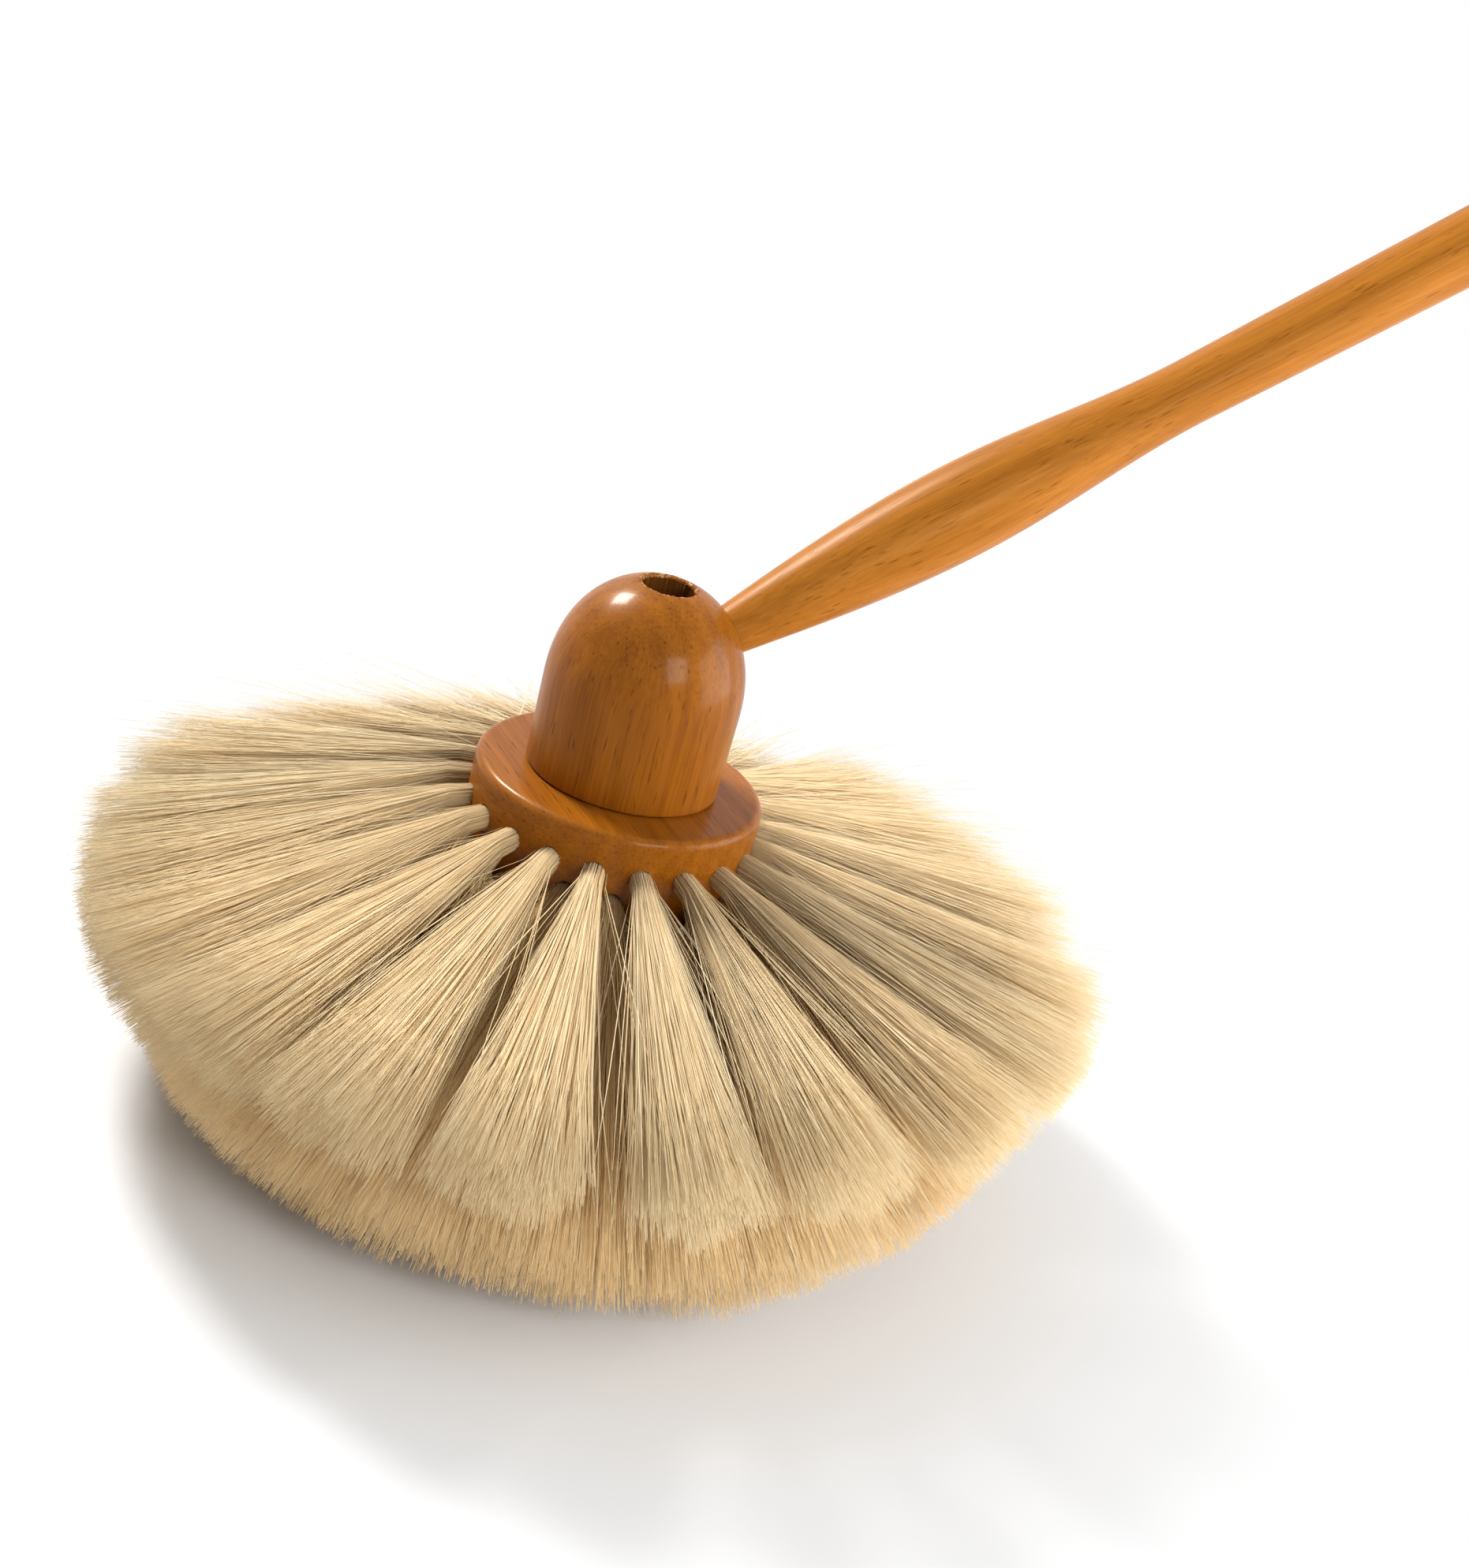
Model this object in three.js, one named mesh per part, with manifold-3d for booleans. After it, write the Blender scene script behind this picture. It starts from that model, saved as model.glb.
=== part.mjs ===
// Goat hair duster: a turned beech head with two staggered rows of hair tufts round its collar,
// and a turned handle that plugs into a socket in the head's shoulder.
// Millimetres, +Z up the head's axis, origin at the centre of the flat underside.
// The handle leans out towards +X.

import * as THREE from 'three';
import { mergeVertices } from 'three/addons/utils/BufferGeometryUtils.js';
import Module from 'manifold-3d';

const DEGREE = Math.PI / 180;

// Fits
const FIT_GAP = 0.3; // clearance where glued, screwed and plugged pieces meet

// Collar
const COLLAR_RADIUS = 40;
const COLLAR_WALL = 11; // wood that the tuft holes pass through
const COLLAR_TOP_EDGE = 2.5; // rounding of the upper edge
const COLLAR_FOOT_EDGE = 1.2; // rounding of the lower edge
const ROW_BELOW_TOP = 11.5; // upper row of holes below the collar's top
const ROW_SPACING = 8; // upper row to lower row
const ROW_ABOVE_COVER = 3; // lower row above the cover's recess

// Tuft holes
const TUFTS_PER_ROW = 20;
const ROW_PHASE = 6.7 * DEGREE; // an upper hole round the collar from the handle's side
const TUFT_HOLE_RADIUS = 2.8;
const TUFT_HOLE_TILT = 8 * DEGREE; // holes slope down towards the outside

// Hair
const TUFT_LENGTH = 104; // hair outside the collar
const TUFT_PROUD = 1.2; // tightly packed root that stands out of its hole
const UPPER_DROOP = 18.5 * DEGREE;
const UPPER_LEAN = 6.5 * DEGREE; // how much higher it hangs on the handle's side, and lower opposite
const UPPER_SPREAD = 6 * DEGREE; // half angle of a tuft's fan, seen from the side
const LOWER_DROOP = 37 * DEGREE;
const LOWER_LEAN = 0 * DEGREE; // level, since the duster stands on this row
const LOWER_SPREAD = 9.5 * DEGREE;
const SPREAD_SIDEWAYS = 9.5 * DEGREE; // half angle of a tuft's fan in either row, seen from above
const STRANDS_PER_TUFT = 8;
const STRAND_ROOT_RADIUS = 0.4;
const STRAND_ROOT_DEPTH = 0.4; // how deep a strand starts in its packed root
const STRAND_TIP_RADIUS = 1.8; // a strand is a lock of hair that opens towards its tip
const HAIR_FOOT_CUT = 0.5; // flat on the lowest tips, which the duster stands on

// Bound roots and draw wires
const BAND_THICKNESS = 1.5;
const BAND_HEIGHT = 6.2;
const WIRE_RADIUS = 0.5;

// Base cover and its screws
const COVER_THICKNESS = 3.7;
const COVER_LEDGE = 3.5; // width of the step that the cover seats on
const COVER_EDGE = 0.6; // chamfer round its outer face
const SCREW_COUNT = 3;
const SCREW_CIRCLE_RADIUS = 7;
const SCREW_HEAD_RADIUS = 3;
const SCREW_HEAD_DEPTH = 1.7;
const SCREW_SHANK_RADIUS = 1.5;
const SCREW_LENGTH = 16;
const SCREW_POINT = 3;
const SCREW_SLOT_WIDTH = 0.9;
const SCREW_SLOT_DEPTH = 0.8;
const SCREW_SUNK = 0.2; // head below the cover's face

// Knob
const KNOB_FOOT_RADIUS = 26.7;
const KNOB_FOOT_EDGE = 0.8;
const KNOB_SHOULDER_RADIUS = 27.1;
const KNOB_SHOULDER_HEIGHT = 25;
const KNOB_DOME_HEIGHT = 31.9; // from the shoulder to the dome's crown
const KNOB_DOME_POWER = 2.14; // 2 would be an ellipse
const TENON_RADIUS = 12; // goes down through the collar's top

// Sockets, one in the crown and one in the shoulder, both tapered
const SOCKET_MOUTH_RADIUS = 7.3;
const SOCKET_FLOOR_RADIUS = 6.2;
const SOCKET_DEPTH = 13;
const SOCKET_RIM = 0.9; // worn edge round the crown socket's mouth

// Handle, with distances measured along it from the socket's mouth
const HANDLE_TILT = 33.4 * DEGREE; // above the horizontal
const HANDLE_AIM = 29.9; // where its axis meets the head's axis, above the collar
const BELLY_RADIUS = 13.2;
const BELLY_DISTANCE = 73.4;
const WAIST_RADIUS = 9.3;
const WAIST_DISTANCE = 147;
const GRIP_RADIUS = 12.5; // where the rounded end begins
const HANDLE_LENGTH = 400;
const HANDLE_END = 25; // length of the rounded end
const PLUG_CHAMFER = 1;

// Facets
const COLLAR_SIDES = 40;
const KNOB_SIDES = 40;
const HANDLE_SIDES = 20;
const HOLE_SIDES = 8;
const PLUG_SIDES = 8;
const STRAND_SIDES = 3;
const WIRE_SIDES = 5;
const SCREW_SIDES = 12;
const DOME_STEPS = 12;
const EDGE_STEPS = 3;
const HANDLE_STEPS = 8; // rings in each stretch of the handle
const OVERCUT = 10; // how far a cutter runs past the face that it opens

// Heights and radii that follow from the sizes above
const coverRecess = COVER_THICKNESS + FIT_GAP;
const lowerRowHeight = coverRecess + ROW_ABOVE_COVER;
const upperRowHeight = lowerRowHeight + ROW_SPACING;
const collarHeight = upperRowHeight + ROW_BELOW_TOP;
const hollowRadius = COLLAR_RADIUS - COLLAR_WALL;
const holeRise = COLLAR_WALL * Math.tan(TUFT_HOLE_TILT); // from a hole's outer mouth to its inner one
const hollowCeiling = upperRowHeight + holeRise + BAND_HEIGHT / 2 + FIT_GAP;
const coverRadius = hollowRadius + COVER_LEDGE;
const bandOuterRadius = hollowRadius - FIT_GAP;
const bandInnerRadius = bandOuterRadius - BAND_THICKNESS;
const knobBase = collarHeight + FIT_GAP;
const plugRadius = TUFT_HOLE_RADIUS - FIT_GAP;
const neckRadius = SOCKET_MOUTH_RADIUS - FIT_GAP;
const gripDistance = HANDLE_LENGTH - HANDLE_END;

// The two rows of tufts, half a pitch apart round the collar
const upperRow = {
  height: upperRowHeight, pitchOffset: 0, droop: UPPER_DROOP, lean: UPPER_LEAN, spread: UPPER_SPREAD,
};
const lowerRow = {
  height: lowerRowHeight, pitchOffset: 0.5, droop: LOWER_DROOP, lean: LOWER_LEAN, spread: LOWER_SPREAD,
};

const wasm = await Module();
wasm.setup();

// Solids and meshes

function solidOf(geometry) {
  const bare = geometry.clone();
  bare.deleteAttribute('normal');
  bare.deleteAttribute('uv');
  const merged = mergeVertices(bare);
  const corners = merged.index.array;
  const kept = [];
  for (let i = 0; i < corners.length; i += 3) {
    const [a, b, c] = corners.slice(i, i + 3);
    if (a !== b && b !== c && c !== a) kept.push(a, b, c);
  }
  return new wasm.Manifold(new wasm.Mesh({
    numProp: 3,
    vertProperties: Float32Array.from(merged.attributes.position.array),
    triVerts: Uint32Array.from(kept),
  }));
}

function geometryOf(solid) {
  const mesh = solid.getMesh();
  const geometry = new THREE.BufferGeometry();
  geometry.setAttribute('position', new THREE.BufferAttribute(mesh.vertProperties, 3));
  geometry.setIndex(new THREE.BufferAttribute(mesh.triVerts, 1));
  geometry.computeVertexNormals();
  return geometry;
}

function joined(solids) {
  return solids.reduce((whole, solid) => whole.add(solid));
}

// A turned shape about +Z from a profile of [radius, height] points, from the bottom up.
function turned(profile, sides) {
  const points = profile.map(([radius, height]) => new THREE.Vector2(radius, height));
  return new THREE.LatheGeometry(points, sides).rotateX(Math.PI / 2);
}

// A straight tapered rod between two points.
function rod(start, end, startRadius, endRadius, sides) {
  const span = new THREE.Vector3().subVectors(end, start);
  const middle = new THREE.Vector3().addVectors(start, end).multiplyScalar(0.5);
  const geometry = new THREE.CylinderGeometry(endRadius, startRadius, span.length(), sides);
  const turn = new THREE.Quaternion().setFromUnitVectors(new THREE.Vector3(0, 1, 0), span.normalize());
  return geometry.applyQuaternion(turn).translate(middle.x, middle.y, middle.z);
}

// Points of a quarter round of the given size about a centre, between two angles.
function roundedEdge(centreRadius, centreHeight, size, from, to) {
  const points = [];
  for (let i = 0; i <= EDGE_STEPS; i++) {
    const angle = from + (to - from) * i / EDGE_STEPS;
    points.push([centreRadius + size * Math.cos(angle), centreHeight + size * Math.sin(angle)]);
  }
  return points;
}

// The angles of a row's tufts round the collar.
function rowAngles(row) {
  const pitch = 2 * Math.PI / TUFTS_PER_ROW;
  return Array.from({ length: TUFTS_PER_ROW }, (_, i) => ROW_PHASE + (i + row.pitchOffset) * pitch);
}

// Materials

function finish(color, roughness, metalness = 0) {
  return new THREE.MeshStandardMaterial({ color, roughness, metalness });
}

const stainedBeech = finish(0xa9651f, 0.35);
const paleBeech = finish(0xc0803a, 0.4);
const plainBeech = finish(0xd0a56b, 0.6);
const goatHair = finish(0xd9c49a, 0.8);
const brassWire = finish(0xb8923f, 0.35, 1);

// Collar

// A point on a tuft hole's axis, so far outside the collar's wall, in the plane of its row angle 0.
function onHoleAxis(outside, row) {
  return new THREE.Vector3(COLLAR_RADIUS + outside, 0, row.height - outside * Math.tan(TUFT_HOLE_TILT));
}

function tuftHoles(row) {
  const inside = onHoleAxis(-COLLAR_WALL - BAND_THICKNESS, row);
  const outside = onHoleAxis(OVERCUT, row);
  const hole = rod(inside, outside, TUFT_HOLE_RADIUS, TUFT_HOLE_RADIUS, HOLE_SIDES);
  return joined(rowAngles(row).map((angle) => solidOf(hole.clone().rotateZ(angle))));
}

function collarGeometry() {
  const recessRadius = coverRadius + FIT_GAP;
  const passageRadius = TENON_RADIUS + FIT_GAP;
  const footCentre = COLLAR_RADIUS - COLLAR_FOOT_EDGE;
  const topCentre = COLLAR_RADIUS - COLLAR_TOP_EDGE;
  const profile = [
    [recessRadius, 0],
    ...roundedEdge(footCentre, COLLAR_FOOT_EDGE, COLLAR_FOOT_EDGE, -Math.PI / 2, 0),
    ...roundedEdge(topCentre, collarHeight - COLLAR_TOP_EDGE, COLLAR_TOP_EDGE, 0, Math.PI / 2),
    [passageRadius, collarHeight],
    [passageRadius, hollowCeiling],
    [hollowRadius, hollowCeiling],
    [hollowRadius, coverRecess],
    [recessRadius, coverRecess],
    [recessRadius, 0],
  ];
  const holes = tuftHoles(upperRow).add(tuftHoles(lowerRow));
  return geometryOf(solidOf(turned(profile, COLLAR_SIDES)).subtract(holes));
}

// Hair

// One strand of a tuft at row angle 0: sideways and upwards run from -1 to 1 across the fan.
function strand(row, droop, sideways, upwards) {
  const yaw = sideways * SPREAD_SIDEWAYS;
  const pitch = droop - upwards * row.spread;
  const heading = new THREE.Vector3(Math.cos(pitch), Math.tan(yaw), -Math.sin(pitch)).normalize();
  const reach = plugRadius - 2 * STRAND_ROOT_RADIUS;
  const root = onHoleAxis(TUFT_PROUD - STRAND_ROOT_DEPTH, row);
  root.add(new THREE.Vector3(0, sideways * reach, upwards * reach));
  const tip = root.clone().addScaledVector(heading, TUFT_LENGTH);
  return solidOf(rod(root, tip, STRAND_ROOT_RADIUS, STRAND_TIP_RADIUS, STRAND_SIDES));
}

// Strands fill the fan evenly, each turned by the golden angle from the one before.
function tuft(row, angle) {
  const goldenAngle = Math.PI * (3 - Math.sqrt(5));
  const droop = row.droop - row.lean * Math.cos(angle);
  const inner = onHoleAxis(-COLLAR_WALL - FIT_GAP - BAND_THICKNESS / 2, row);
  const outer = onHoleAxis(TUFT_PROUD, row);
  const strands = [solidOf(rod(inner, outer, plugRadius, plugRadius, PLUG_SIDES))];
  for (let i = 0; i < STRANDS_PER_TUFT; i++) {
    const out = Math.sqrt((i + 0.5) / STRANDS_PER_TUFT);
    strands.push(strand(row, droop, out * Math.cos(i * goldenAngle), out * Math.sin(i * goldenAngle)));
  }
  return solidOf(geometryOf(joined(strands)).rotateZ(angle));
}

function boundRoots(row) {
  const middle = row.height + holeRise;
  const low = middle - BAND_HEIGHT / 2;
  const high = middle + BAND_HEIGHT / 2;
  const profile = [
    [bandInnerRadius, low],
    [bandOuterRadius, low],
    [bandOuterRadius, high],
    [bandInnerRadius, high],
    [bandInnerRadius, low],
  ];
  return solidOf(turned(profile, COLLAR_SIDES));
}

function tuftRow(row) {
  return joined([boundRoots(row), ...rowAngles(row).map((angle) => tuft(row, angle))]);
}

// The tips that the duster stands on are cut level.
function levelled(tufts) {
  const uncut = geometryOf(tufts);
  uncut.computeBoundingBox();
  const size = uncut.boundingBox.getSize(new THREE.Vector3());
  const floor = uncut.boundingBox.min.z + HAIR_FOOT_CUT;
  const below = new THREE.BoxGeometry(2 * size.x, 2 * size.y, OVERCUT);
  return geometryOf(tufts.subtract(solidOf(below.translate(0, 0, floor - OVERCUT / 2))));
}

function drawWireGeometry(row) {
  const ringRadius = bandInnerRadius - FIT_GAP - WIRE_RADIUS;
  const ring = new THREE.TorusGeometry(ringRadius, WIRE_RADIUS, WIRE_SIDES, COLLAR_SIDES);
  return ring.translate(0, 0, row.height + holeRise);
}

// Base cover and screws

// A countersunk screw's profile from the rim of its head, point up, grown all round by a clearance.
function screwProfile(grown) {
  const shank = SCREW_SHANK_RADIUS + grown;
  return [
    [SCREW_HEAD_RADIUS + grown, 0],
    [shank, SCREW_HEAD_DEPTH],
    [shank, SCREW_LENGTH - SCREW_POINT],
    [0, SCREW_LENGTH + grown],
  ];
}

function onScrewCircle(geometry, index) {
  const angle = (index + 0.5) * 2 * Math.PI / SCREW_COUNT;
  const x = SCREW_CIRCLE_RADIUS * Math.cos(angle);
  const y = SCREW_CIRCLE_RADIUS * Math.sin(angle);
  return geometry.clone().translate(x, y, SCREW_SUNK);
}

function screwHoles() {
  const mouth = [[0, -OVERCUT], [SCREW_HEAD_RADIUS + FIT_GAP, -OVERCUT]];
  const hole = turned([...mouth, ...screwProfile(FIT_GAP)], SCREW_SIDES);
  return joined(Array.from({ length: SCREW_COUNT }, (_, i) => solidOf(onScrewCircle(hole, i))));
}

function screwGeometry() {
  const blank = turned([[0, 0], ...screwProfile(0)], SCREW_SIDES);
  const slot = new THREE.BoxGeometry(3 * SCREW_HEAD_RADIUS, SCREW_SLOT_WIDTH, 2 * SCREW_SLOT_DEPTH);
  return geometryOf(solidOf(blank).subtract(solidOf(slot)));
}

function coverGeometry() {
  const profile = [
    [0, 0],
    [coverRadius - COVER_EDGE, 0],
    [coverRadius, COVER_EDGE],
    [coverRadius, COVER_THICKNESS],
    [0, COVER_THICKNESS],
  ];
  return geometryOf(solidOf(turned(profile, COLLAR_SIDES)).subtract(screwHoles()));
}

// Knob, with heights measured from its foot

function insideKnob(radius, height) {
  if (height < KNOB_SHOULDER_HEIGHT) {
    const share = height / KNOB_SHOULDER_HEIGHT;
    return radius < KNOB_FOOT_RADIUS + (KNOB_SHOULDER_RADIUS - KNOB_FOOT_RADIUS) * share;
  }
  const across = (radius / KNOB_SHOULDER_RADIUS) ** KNOB_DOME_POWER;
  const up = ((height - KNOB_SHOULDER_HEIGHT) / KNOB_DOME_HEIGHT) ** KNOB_DOME_POWER;
  return across + up < 1;
}

// How far along the handle's axis, from the head's axis, the knob's surface lies.
function mouthDistance() {
  let inside = 0;
  let outside = KNOB_SHOULDER_RADIUS + KNOB_DOME_HEIGHT;
  while (outside - inside > 0.001) {
    const middle = (inside + outside) / 2;
    const radius = middle * Math.cos(HANDLE_TILT);
    const height = HANDLE_AIM + middle * Math.sin(HANDLE_TILT);
    if (insideKnob(radius, height)) inside = middle;
    else outside = middle;
  }
  return inside;
}

// The dome from its shoulder up to the rim of the crown socket.
function domeProfile(rimRadius) {
  const exponent = 2 / KNOB_DOME_POWER;
  const rimAngle = Math.acos((rimRadius / KNOB_SHOULDER_RADIUS) ** (1 / exponent));
  const points = [];
  for (let i = 0; i <= DOME_STEPS; i++) {
    const angle = rimAngle * i / DOME_STEPS;
    const radius = KNOB_SHOULDER_RADIUS * Math.cos(angle) ** exponent;
    const height = KNOB_SHOULDER_HEIGHT + KNOB_DOME_HEIGHT * Math.sin(angle) ** exponent;
    points.push([radius, height]);
  }
  return points;
}

// Puts a shape made along +Z from the socket's mouth onto the handle's axis.
function placeOnHandleAxis(object) {
  const distance = mouthDistance();
  object.position.set(
    distance * Math.cos(HANDLE_TILT),
    0,
    knobBase + HANDLE_AIM + distance * Math.sin(HANDLE_TILT),
  );
  object.rotation.y = Math.PI / 2 - HANDLE_TILT;
  object.updateMatrix();
  return object;
}

function shoulderSocket() {
  const taper = (SOCKET_MOUTH_RADIUS - SOCKET_FLOOR_RADIUS) / SOCKET_DEPTH;
  const profile = [
    [0, -SOCKET_DEPTH],
    [SOCKET_FLOOR_RADIUS, -SOCKET_DEPTH],
    [SOCKET_MOUTH_RADIUS + taper * OVERCUT, OVERCUT],
    [0, OVERCUT],
  ];
  const placed = placeOnHandleAxis(new THREE.Object3D());
  return solidOf(turned(profile, HANDLE_SIDES).applyMatrix4(placed.matrix));
}

function knobGeometry() {
  const dome = domeProfile(SOCKET_MOUTH_RADIUS + SOCKET_RIM);
  const mouthHeight = dome.at(-1)[1] - SOCKET_RIM;
  const tenonLength = knobBase - coverRecess;
  const profile = [
    [0, -tenonLength],
    [TENON_RADIUS, -tenonLength],
    [TENON_RADIUS, 0],
    ...roundedEdge(KNOB_FOOT_RADIUS - KNOB_FOOT_EDGE, KNOB_FOOT_EDGE, KNOB_FOOT_EDGE, -Math.PI / 2, 0),
    ...dome,
    [SOCKET_MOUTH_RADIUS, mouthHeight],
    [SOCKET_FLOOR_RADIUS, mouthHeight - SOCKET_DEPTH],
    [0, mouthHeight - SOCKET_DEPTH],
  ];
  const blank = turned(profile, KNOB_SIDES).translate(0, 0, knobBase);
  return geometryOf(solidOf(blank).subtract(shoulderSocket()).subtract(screwHoles()));
}

// Handle, along +Z from the socket's mouth

function handleRadius(distance) {
  if (distance < BELLY_DISTANCE) {
    const rise = Math.sin(Math.PI / 2 * distance / BELLY_DISTANCE);
    return neckRadius + (BELLY_RADIUS - neckRadius) * rise;
  }
  if (distance < WAIST_DISTANCE) {
    const share = (distance - BELLY_DISTANCE) / (WAIST_DISTANCE - BELLY_DISTANCE);
    return WAIST_RADIUS + (BELLY_RADIUS - WAIST_RADIUS) * (1 + Math.cos(Math.PI * share)) / 2;
  }
  const share = (distance - WAIST_DISTANCE) / (gripDistance - WAIST_DISTANCE);
  return WAIST_RADIUS + (GRIP_RADIUS - WAIST_RADIUS) * share;
}

function handleGeometry() {
  const plugEnd = FIT_GAP - SOCKET_DEPTH;
  const plugEndRadius = SOCKET_FLOOR_RADIUS - FIT_GAP;
  const stretches = [0, BELLY_DISTANCE, WAIST_DISTANCE, gripDistance];
  const profile = [
    [0, plugEnd],
    [plugEndRadius - PLUG_CHAMFER, plugEnd],
    [plugEndRadius, plugEnd + PLUG_CHAMFER],
  ];
  for (let i = 0; i + 1 < stretches.length; i++) {
    for (let step = 0; step < HANDLE_STEPS; step++) {
      const distance = THREE.MathUtils.lerp(stretches[i], stretches[i + 1], step / HANDLE_STEPS);
      profile.push([handleRadius(distance), distance]);
    }
  }
  for (let step = 0; step < HANDLE_STEPS; step++) {
    const angle = Math.PI / 2 * step / HANDLE_STEPS;
    const height = gripDistance + HANDLE_END * Math.sin(angle);
    profile.push([GRIP_RADIUS * Math.sqrt(Math.cos(angle)), height]);
  }
  profile.push([0, HANDLE_LENGTH]);
  return turned(profile, HANDLE_SIDES);
}

// Assembly

function piece(name, geometry, material) {
  const mesh = new THREE.Mesh(geometry, material);
  mesh.name = name;
  return mesh;
}

const head = new THREE.Group();
head.add(
  piece('collar', collarGeometry(), stainedBeech),
  piece('socket_knob', knobGeometry(), stainedBeech),
  piece('base_cover', coverGeometry(), plainBeech),
  piece('upper_tuft_row', geometryOf(tuftRow(upperRow)), goatHair),
  piece('lower_tuft_row', levelled(tuftRow(lowerRow)), goatHair),
  piece('upper_draw_wire', drawWireGeometry(upperRow), brassWire),
  piece('lower_draw_wire', drawWireGeometry(lowerRow), brassWire),
);
const screw = screwGeometry();
for (let i = 0; i < SCREW_COUNT; i++) {
  head.add(piece(`cover_screw_${i + 1}`, onScrewCircle(screw, i), brassWire));
}

const duster = new THREE.Group();
duster.add(head, placeOnHandleAxis(piece('handle', handleGeometry(), paleBeech)));

export default duster;
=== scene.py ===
"""Looks of a goat hair duster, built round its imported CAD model.

Metres, in the CAD frame: +Z up the head's turning axis, origin at the centre of the flat
underside, the handle leaning out towards +X.
"""

import math
from functools import cache
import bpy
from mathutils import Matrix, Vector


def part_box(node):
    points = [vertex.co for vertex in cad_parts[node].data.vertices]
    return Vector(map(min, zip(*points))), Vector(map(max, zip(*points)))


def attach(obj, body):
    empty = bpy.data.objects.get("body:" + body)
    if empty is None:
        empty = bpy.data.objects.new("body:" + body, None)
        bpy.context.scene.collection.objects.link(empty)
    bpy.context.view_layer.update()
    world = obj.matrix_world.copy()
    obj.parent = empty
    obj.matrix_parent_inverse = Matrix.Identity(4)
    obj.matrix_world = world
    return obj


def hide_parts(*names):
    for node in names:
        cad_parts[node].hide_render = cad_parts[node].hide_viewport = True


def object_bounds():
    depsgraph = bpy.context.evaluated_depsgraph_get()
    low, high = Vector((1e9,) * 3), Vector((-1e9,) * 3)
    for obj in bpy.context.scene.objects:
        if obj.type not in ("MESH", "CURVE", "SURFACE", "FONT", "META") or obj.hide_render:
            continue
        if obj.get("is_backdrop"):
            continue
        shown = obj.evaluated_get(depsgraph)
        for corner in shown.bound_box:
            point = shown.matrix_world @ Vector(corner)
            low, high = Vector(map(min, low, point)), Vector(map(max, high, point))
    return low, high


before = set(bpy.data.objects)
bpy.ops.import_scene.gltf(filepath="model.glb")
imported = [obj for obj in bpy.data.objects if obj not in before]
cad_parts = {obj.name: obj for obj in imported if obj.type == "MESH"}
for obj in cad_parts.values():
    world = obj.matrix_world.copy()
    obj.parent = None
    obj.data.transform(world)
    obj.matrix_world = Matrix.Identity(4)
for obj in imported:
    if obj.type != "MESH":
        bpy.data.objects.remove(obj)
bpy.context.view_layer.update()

from types import SimpleNamespace

import bpy
import numpy as np
from mathutils import Matrix, Vector

MM = 0.001
GOLDEN_ANGLE = math.pi * (3 - math.sqrt(5))
MERGE_DISTANCE = 0.002 * MM
EDGE_STEPS = 6  # of a rounded edge

# Camera, as fitted to the photograph
PHOTO_WIDTH, PHOTO_HEIGHT = 1862, 1988
COLLAR_PIXEL = (787.7, 979.8)  # where the centre of the collar's top is seen
FOCAL_PIXELS = 3165.6
CAMERA_DISTANCE = 683.5 * MM  # from the centre of the collar's top
CAMERA_TURN = math.radians(-28.5)
CAMERA_ELEVATION = math.radians(23.86)
CAMERA_ROLL = math.radians(14.39)
SENSOR = 36.0

# Collar
COLLAR_WALL = 11 * MM
COLLAR_TOP_EDGE = 2.5 * MM
COLLAR_FOOT_EDGE = 1.2 * MM
COLLAR_RECESS_RADIUS = 32.8 * MM
COLLAR_RECESS_DEPTH = 4 * MM
COLLAR_CEILING = 19.95 * MM
COLLAR_PASSAGE_RADIUS = 12.3 * MM
COLLAR_SIDES = 160
COLLAR_TOP_EDGE_STEPS = 10
COLLAR_CREASE = math.radians(32)  # an edge that turns by more stays sharp

# Tuft holes
TUFTS_PER_ROW = 20
ROW_PHASE = math.radians(6.7)
HOLE_RADIUS = 2.8 * MM
HOLE_TILT = math.radians(8)
HOLE_SIDES = 24
HOLE_CUTTER_REACH = 12 * MM

# Knob, with heights measured from its foot
KNOB_FOOT_RADIUS = 26.7 * MM
KNOB_FOOT_EDGE = 0.8 * MM
KNOB_SHOULDER_HEIGHT = 25 * MM
KNOB_DOME_HEIGHT = 31.9 * MM
KNOB_DOME_POWER = 2.14
KNOB_LIFT = 0.3 * MM  # above the collar
TENON_RADIUS = 12 * MM
KNOB_SIDES = 160
DOME_STEPS = 40
KNOB_CREASE = math.radians(40)

# Sockets in the crown and the shoulder
SOCKET_MOUTH_RADIUS = 7.3 * MM
SOCKET_FLOOR_RADIUS = 6.2 * MM
SOCKET_DEPTH = 13 * MM
SOCKET_RIM = 0.9 * MM
RIM_CHIPS = 0.25 * MM
RIM_CHIPS_SEED = 4
SOCKET_CUTTER_REACH = 10 * MM

# Handle, with distances measured from the socket's mouth
HANDLE_TILT = math.radians(33.4)
HANDLE_AIM = 29.9 * MM  # where its axis meets the head's axis, above the knob's foot
NECK_RADIUS = 7.0 * MM
BELLY_RADIUS, BELLY_DISTANCE = 13.2 * MM, 73.4 * MM
WAIST_RADIUS, WAIST_DISTANCE = 9.3 * MM, 147 * MM
GRIP_RADIUS, GRIP_DISTANCE = 12.5 * MM, 375 * MM
HANDLE_LENGTH = 400 * MM
PLUG_END, PLUG_RADIUS, PLUG_CHAMFER = -12.7 * MM, 5.9 * MM, 1 * MM
HANDLE_SIDES = 96
HANDLE_STEPS = 20
HANDLE_CREASE = math.radians(30)

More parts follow.
